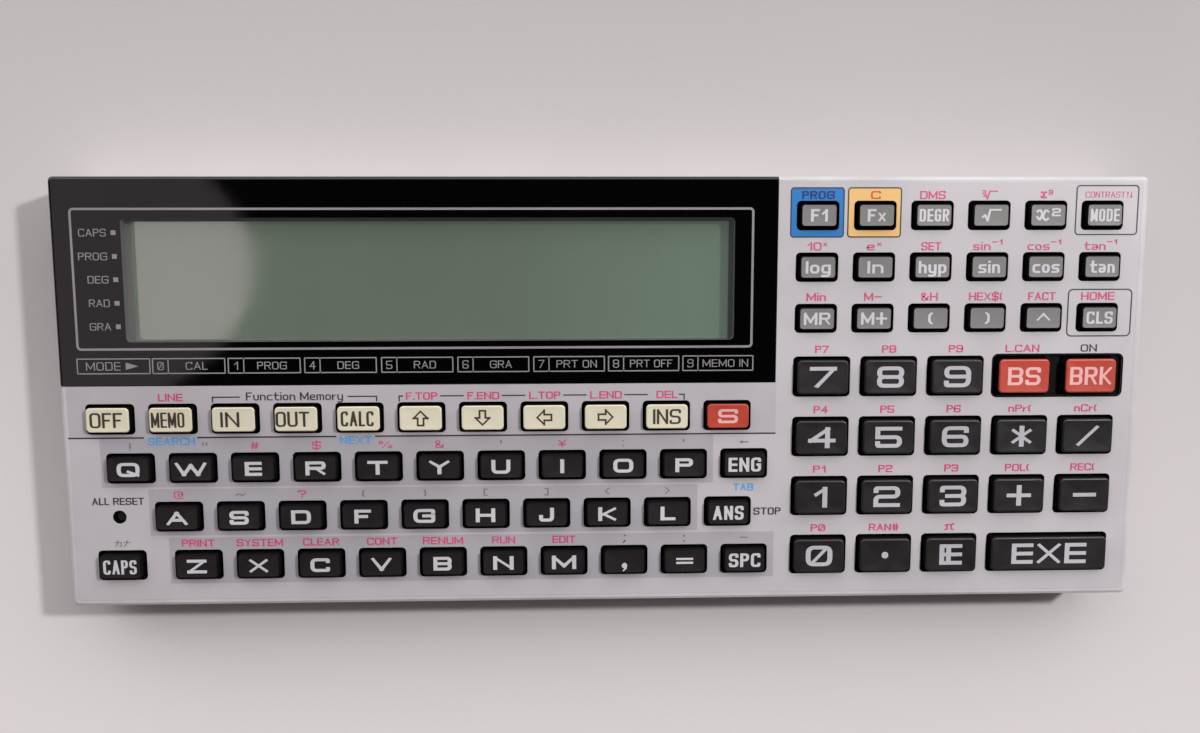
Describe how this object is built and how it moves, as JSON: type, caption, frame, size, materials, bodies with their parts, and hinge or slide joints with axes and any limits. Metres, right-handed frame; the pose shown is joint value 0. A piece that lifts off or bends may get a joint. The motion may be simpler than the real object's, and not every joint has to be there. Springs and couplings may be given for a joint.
{
  "type": "pocket computer",
  "caption": "Slim flat pocket computer with a display window, letter keyboard, function keys and number pad, a coin-cell bay with a sliding cover and a covered side port.",
  "frame": {"origin": "under the middle of the case, on the plane that its four feet stand on", "axes": "+X to the right of the keyboard, +Y towards the display's top edge, +Z out of the key face"},
  "size_m": [0.1936, 0.0768, 0.0138],
  "materials": {
    "case_silver": "fine satin silver-grey moulding",
    "face_metal": "satin, silk-printed",
    "window_black": "polished, black back print round a clear window",
    "lcd_glass": "grey-green display behind a matt polariser",
    "frame_black": "matt black pressed sheet",
    "sheet_steel": "bright pressed sheet",
    "screw_steel": "plated cross-head",
    "cell_steel": "bright nickel",
    "dark_rubber": "matt",
    "board_green": "solder-masked board",
    "chip_black": "moulded resin",
    "key_black": "fine matt texture, pale legends",
    "key_grey": "fine matt texture, white legends",
    "key_cream": "fine matt texture, brown legends",
    "key_red": "fine matt texture, pale legends"
  },
  "bodies": {
    "root": {"lower_case": "case_silver", "upper_case": "case_silver", "face_plate": "face_metal", "display_window": "window_black", "lcd_frame": "frame_black", "lcd_glass": "lcd_glass", "lcd_connector": "dark_rubber", "main_board": "board_green", "key_mat": "dark_rubber", "processor_chip": "chip_black", "rom_chip": "chip_black", "ram_chip": "chip_black", "main_cell_1": "cell_steel", "main_cell_2": "cell_steel", "backup_cell": "cell_steel", "cell_contact": "sheet_steel", "port_socket": "chip_black", "case_screw_1": "screw_steel", "case_screw_2": "screw_steel", "case_screw_3": "screw_steel", "case_screw_4": "screw_steel"},
    "key_off": {"key_off": "key_cream"},
    "key_memo": {"key_memo": "key_cream"},
    "key_in": {"key_in": "key_cream"},
    "key_out": {"key_out": "key_cream"},
    "key_calc": {"key_calc": "key_cream"},
    "key_up": {"key_up": "key_cream"},
    "key_down": {"key_down": "key_cream"},
    "key_left": {"key_left": "key_cream"},
    "key_right": {"key_right": "key_cream"},
    "key_insert": {"key_insert": "key_cream"},
    "key_shift": {"key_shift": "key_red"},
    "key_7": {"key_7": "key_black"},
    "key_8": {"key_8": "key_black"},
    "key_9": {"key_9": "key_black"},
    "key_backspace": {"key_backspace": "key_red"},
    "key_break": {"key_break": "key_red"},
    "key_4": {"key_4": "key_black"},
    "key_5": {"key_5": "key_black"},
    "key_6": {"key_6": "key_black"},
    "key_multiply": {"key_multiply": "key_black"},
    "key_divide": {"key_divide": "key_black"},
    "key_1": {"key_1": "key_black"},
    "key_2": {"key_2": "key_black"},
    "key_3": {"key_3": "key_black"},
    "key_plus": {"key_plus": "key_black"},
    "key_minus": {"key_minus": "key_black"},
    "key_0": {"key_0": "key_black"},
    "key_point": {"key_point": "key_black"},
    "key_exponent": {"key_exponent": "key_black"},
    "key_execute": {"key_execute": "key_black"},
    "upper_letter_keys": {"upper_letter_keys": "key_black"},
    "middle_letter_keys": {"middle_letter_keys": "key_black"},
    "lower_letter_keys": {"lower_letter_keys": "key_black"},
    "upper_small_keys": {"upper_small_keys": "key_grey"},
    "middle_small_keys": {"middle_small_keys": "key_grey"},
    "lower_small_keys": {"lower_small_keys": "key_grey"},
    "reset_button": {"reset_button": "key_black"},
    "battery_cover": {"battery_cover": "case_silver"},
    "port_cover": {"port_cover": "case_silver"}
  },
  "joints": [
    {"name": "key_off_press", "type": "slide", "parent": "root", "child": "key_off", "axis": [0, 0, -1], "range_m": [0, 0.0008], "stiffness_N_per_m": 500, "springref_m": -0.0005, "deforming": ["key_mat"]},
    {"name": "key_memo_press", "type": "slide", "parent": "root", "child": "key_memo", "axis": [0, 0, -1], "range_m": [0, 0.0008], "stiffness_N_per_m": 500, "springref_m": -0.0005, "deforming": ["key_mat"]},
    {"name": "key_in_press", "type": "slide", "parent": "root", "child": "key_in", "axis": [0, 0, -1], "range_m": [0, 0.0008], "stiffness_N_per_m": 500, "springref_m": -0.0005, "deforming": ["key_mat"]},
    {"name": "key_out_press", "type": "slide", "parent": "root", "child": "key_out", "axis": [0, 0, -1], "range_m": [0, 0.0008], "stiffness_N_per_m": 500, "springref_m": -0.0005, "deforming": ["key_mat"]},
    {"name": "key_calc_press", "type": "slide", "parent": "root", "child": "key_calc", "axis": [0, 0, -1], "range_m": [0, 0.0008], "stiffness_N_per_m": 500, "springref_m": -0.0005, "deforming": ["key_mat"]},
    {"name": "key_up_press", "type": "slide", "parent": "root", "child": "key_up", "axis": [0, 0, -1], "range_m": [0, 0.0008], "stiffness_N_per_m": 500, "springref_m": -0.0005, "deforming": ["key_mat"]},
    {"name": "key_down_press", "type": "slide", "parent": "root", "child": "key_down", "axis": [0, 0, -1], "range_m": [0, 0.0008], "stiffness_N_per_m": 500, "springref_m": -0.0005, "deforming": ["key_mat"]},
    {"name": "key_left_press", "type": "slide", "parent": "root", "child": "key_left", "axis": [0, 0, -1], "range_m": [0, 0.0008], "stiffness_N_per_m": 500, "springref_m": -0.0005, "deforming": ["key_mat"]},
    {"name": "key_right_press", "type": "slide", "parent": "root", "child": "key_right", "axis": [0, 0, -1], "range_m": [0, 0.0008], "stiffness_N_per_m": 500, "springref_m": -0.0005, "deforming": ["key_mat"]},
    {"name": "key_insert_press", "type": "slide", "parent": "root", "child": "key_insert", "axis": [0, 0, -1], "range_m": [0, 0.0008], "stiffness_N_per_m": 500, "springref_m": -0.0005, "deforming": ["key_mat"]},
    {"name": "key_shift_press", "type": "slide", "parent": "root", "child": "key_shift", "axis": [0, 0, -1], "range_m": [0, 0.0008], "stiffness_N_per_m": 500, "springref_m": -0.0005, "deforming": ["key_mat"]},
    {"name": "key_7_press", "type": "slide", "parent": "root", "child": "key_7", "axis": [0, 0, -1], "range_m": [0, 0.0008], "stiffness_N_per_m": 500, "springref_m": -0.0005, "deforming": ["key_mat"]},
    {"name": "key_8_press", "type": "slide", "parent": "root", "child": "key_8", "axis": [0, 0, -1], "range_m": [0, 0.0008], "stiffness_N_per_m": 500, "springref_m": -0.0005, "deforming": ["key_mat"]},
    {"name": "key_9_press", "type": "slide", "parent": "root", "child": "key_9", "axis": [0, 0, -1], "range_m": [0, 0.0008], "stiffness_N_per_m": 500, "springref_m": -0.0005, "deforming": ["key_mat"]},
    {"name": "key_backspace_press", "type": "slide", "parent": "root", "child": "key_backspace", "axis": [0, 0, -1], "range_m": [0, 0.0008], "stiffness_N_per_m": 500, "springref_m": -0.0005, "deforming": ["key_mat"]},
    {"name": "key_break_press", "type": "slide", "parent": "root", "child": "key_break", "axis": [0, 0, -1], "range_m": [0, 0.0008], "stiffness_N_per_m": 500, "springref_m": -0.0005, "deforming": ["key_mat"]},
    {"name": "key_4_press", "type": "slide", "parent": "root", "child": "key_4", "axis": [0, 0, -1], "range_m": [0, 0.0008], "stiffness_N_per_m": 500, "springref_m": -0.0005, "deforming": ["key_mat"]},
    {"name": "key_5_press", "type": "slide", "parent": "root", "child": "key_5", "axis": [0, 0, -1], "range_m": [0, 0.0008], "stiffness_N_per_m": 500, "springref_m": -0.0005, "deforming": ["key_mat"]},
    {"name": "key_6_press", "type": "slide", "parent": "root", "child": "key_6", "axis": [0, 0, -1], "range_m": [0, 0.0008], "stiffness_N_per_m": 500, "springref_m": -0.0005, "deforming": ["key_mat"]},
    {"name": "key_multiply_press", "type": "slide", "parent": "root", "child": "key_multiply", "axis": [0, 0, -1], "range_m": [0, 0.0008], "stiffness_N_per_m": 500, "springref_m": -0.0005, "deforming": ["key_mat"]},
    {"name": "key_divide_press", "type": "slide", "parent": "root", "child": "key_divide", "axis": [0, 0, -1], "range_m": [0, 0.0008], "stiffness_N_per_m": 500, "springref_m": -0.0005, "deforming": ["key_mat"]},
    {"name": "key_1_press", "type": "slide", "parent": "root", "child": "key_1", "axis": [0, 0, -1], "range_m": [0, 0.0008], "stiffness_N_per_m": 500, "springref_m": -0.0005, "deforming": ["key_mat"]},
    {"name": "key_2_press", "type": "slide", "parent": "root", "child": "key_2", "axis": [0, 0, -1], "range_m": [0, 0.0008], "stiffness_N_per_m": 500, "springref_m": -0.0005, "deforming": ["key_mat"]},
    {"name": "key_3_press", "type": "slide", "parent": "root", "child": "key_3", "axis": [0, 0, -1], "range_m": [0, 0.0008], "stiffness_N_per_m": 500, "springref_m": -0.0005, "deforming": ["key_mat"]},
    {"name": "key_plus_press", "type": "slide", "parent": "root", "child": "key_plus", "axis": [0, 0, -1], "range_m": [0, 0.0008], "stiffness_N_per_m": 500, "springref_m": -0.0005, "deforming": ["key_mat"]},
    {"name": "key_minus_press", "type": "slide", "parent": "root", "child": "key_minus", "axis": [0, 0, -1], "range_m": [0, 0.0008], "stiffness_N_per_m": 500, "springref_m": -0.0005, "deforming": ["key_mat"]},
    {"name": "key_0_press", "type": "slide", "parent": "root", "child": "key_0", "axis": [0, 0, -1], "range_m": [0, 0.0008], "stiffness_N_per_m": 500, "springref_m": -0.0005, "deforming": ["key_mat"]},
    {"name": "key_point_press", "type": "slide", "parent": "root", "child": "key_point", "axis": [0, 0, -1], "range_m": [0, 0.0008], "stiffness_N_per_m": 500, "springref_m": -0.0005, "deforming": ["key_mat"]},
    {"name": "key_exponent_press", "type": "slide", "parent": "root", "child": "key_exponent", "axis": [0, 0, -1], "range_m": [0, 0.0008], "stiffness_N_per_m": 500, "springref_m": -0.0005, "deforming": ["key_mat"]},
    {"name": "key_execute_press", "type": "slide", "parent": "root", "child": "key_execute", "axis": [0, 0, -1], "range_m": [0, 0.0008], "stiffness_N_per_m": 500, "springref_m": -0.0005, "deforming": ["key_mat"]},
    {"name": "upper_letter_keys_press", "type": "slide", "parent": "root", "child": "upper_letter_keys", "axis": [0, 0, -1], "range_m": [0, 0.0008], "stiffness_N_per_m": 500, "springref_m": -0.0005, "deforming": ["key_mat"]},
    {"name": "middle_letter_keys_press", "type": "slide", "parent": "root", "child": "middle_letter_keys", "axis": [0, 0, -1], "range_m": [0, 0.0008], "stiffness_N_per_m": 500, "springref_m": -0.0005, "deforming": ["key_mat"]},
    {"name": "lower_letter_keys_press", "type": "slide", "parent": "root", "child": "lower_letter_keys", "axis": [0, 0, -1], "range_m": [0, 0.0008], "stiffness_N_per_m": 500, "springref_m": -0.0005, "deforming": ["key_mat"]},
    {"name": "upper_small_keys_press", "type": "slide", "parent": "root", "child": "upper_small_keys", "axis": [0, 0, -1], "range_m": [0, 0.0008], "stiffness_N_per_m": 500, "springref_m": -0.0005, "deforming": ["key_mat"]},
    {"name": "middle_small_keys_press", "type": "slide", "parent": "root", "child": "middle_small_keys", "axis": [0, 0, -1], "range_m": [0, 0.0008], "stiffness_N_per_m": 500, "springref_m": -0.0005, "deforming": ["key_mat"]},
    {"name": "lower_small_keys_press", "type": "slide", "parent": "root", "child": "lower_small_keys", "axis": [0, 0, -1], "range_m": [0, 0.0008], "stiffness_N_per_m": 500, "springref_m": -0.0005, "deforming": ["key_mat"]},
    {"name": "reset_button_press", "type": "slide", "parent": "root", "child": "reset_button", "axis": [0, 0, -1], "range_m": [0, 0.0006], "stiffness_N_per_m": 500, "springref_m": -0.0005, "deforming": ["key_mat"]},
    {"name": "battery_cover_slide", "type": "slide", "parent": "root", "child": "battery_cover", "axis": [1, 0, 0], "range_m": [0, 0.06]},
    {"name": "port_cover_pull", "type": "slide", "parent": "root", "child": "port_cover", "axis": [-1, 0, 0], "range_m": [0, 0.008]}
  ]
}
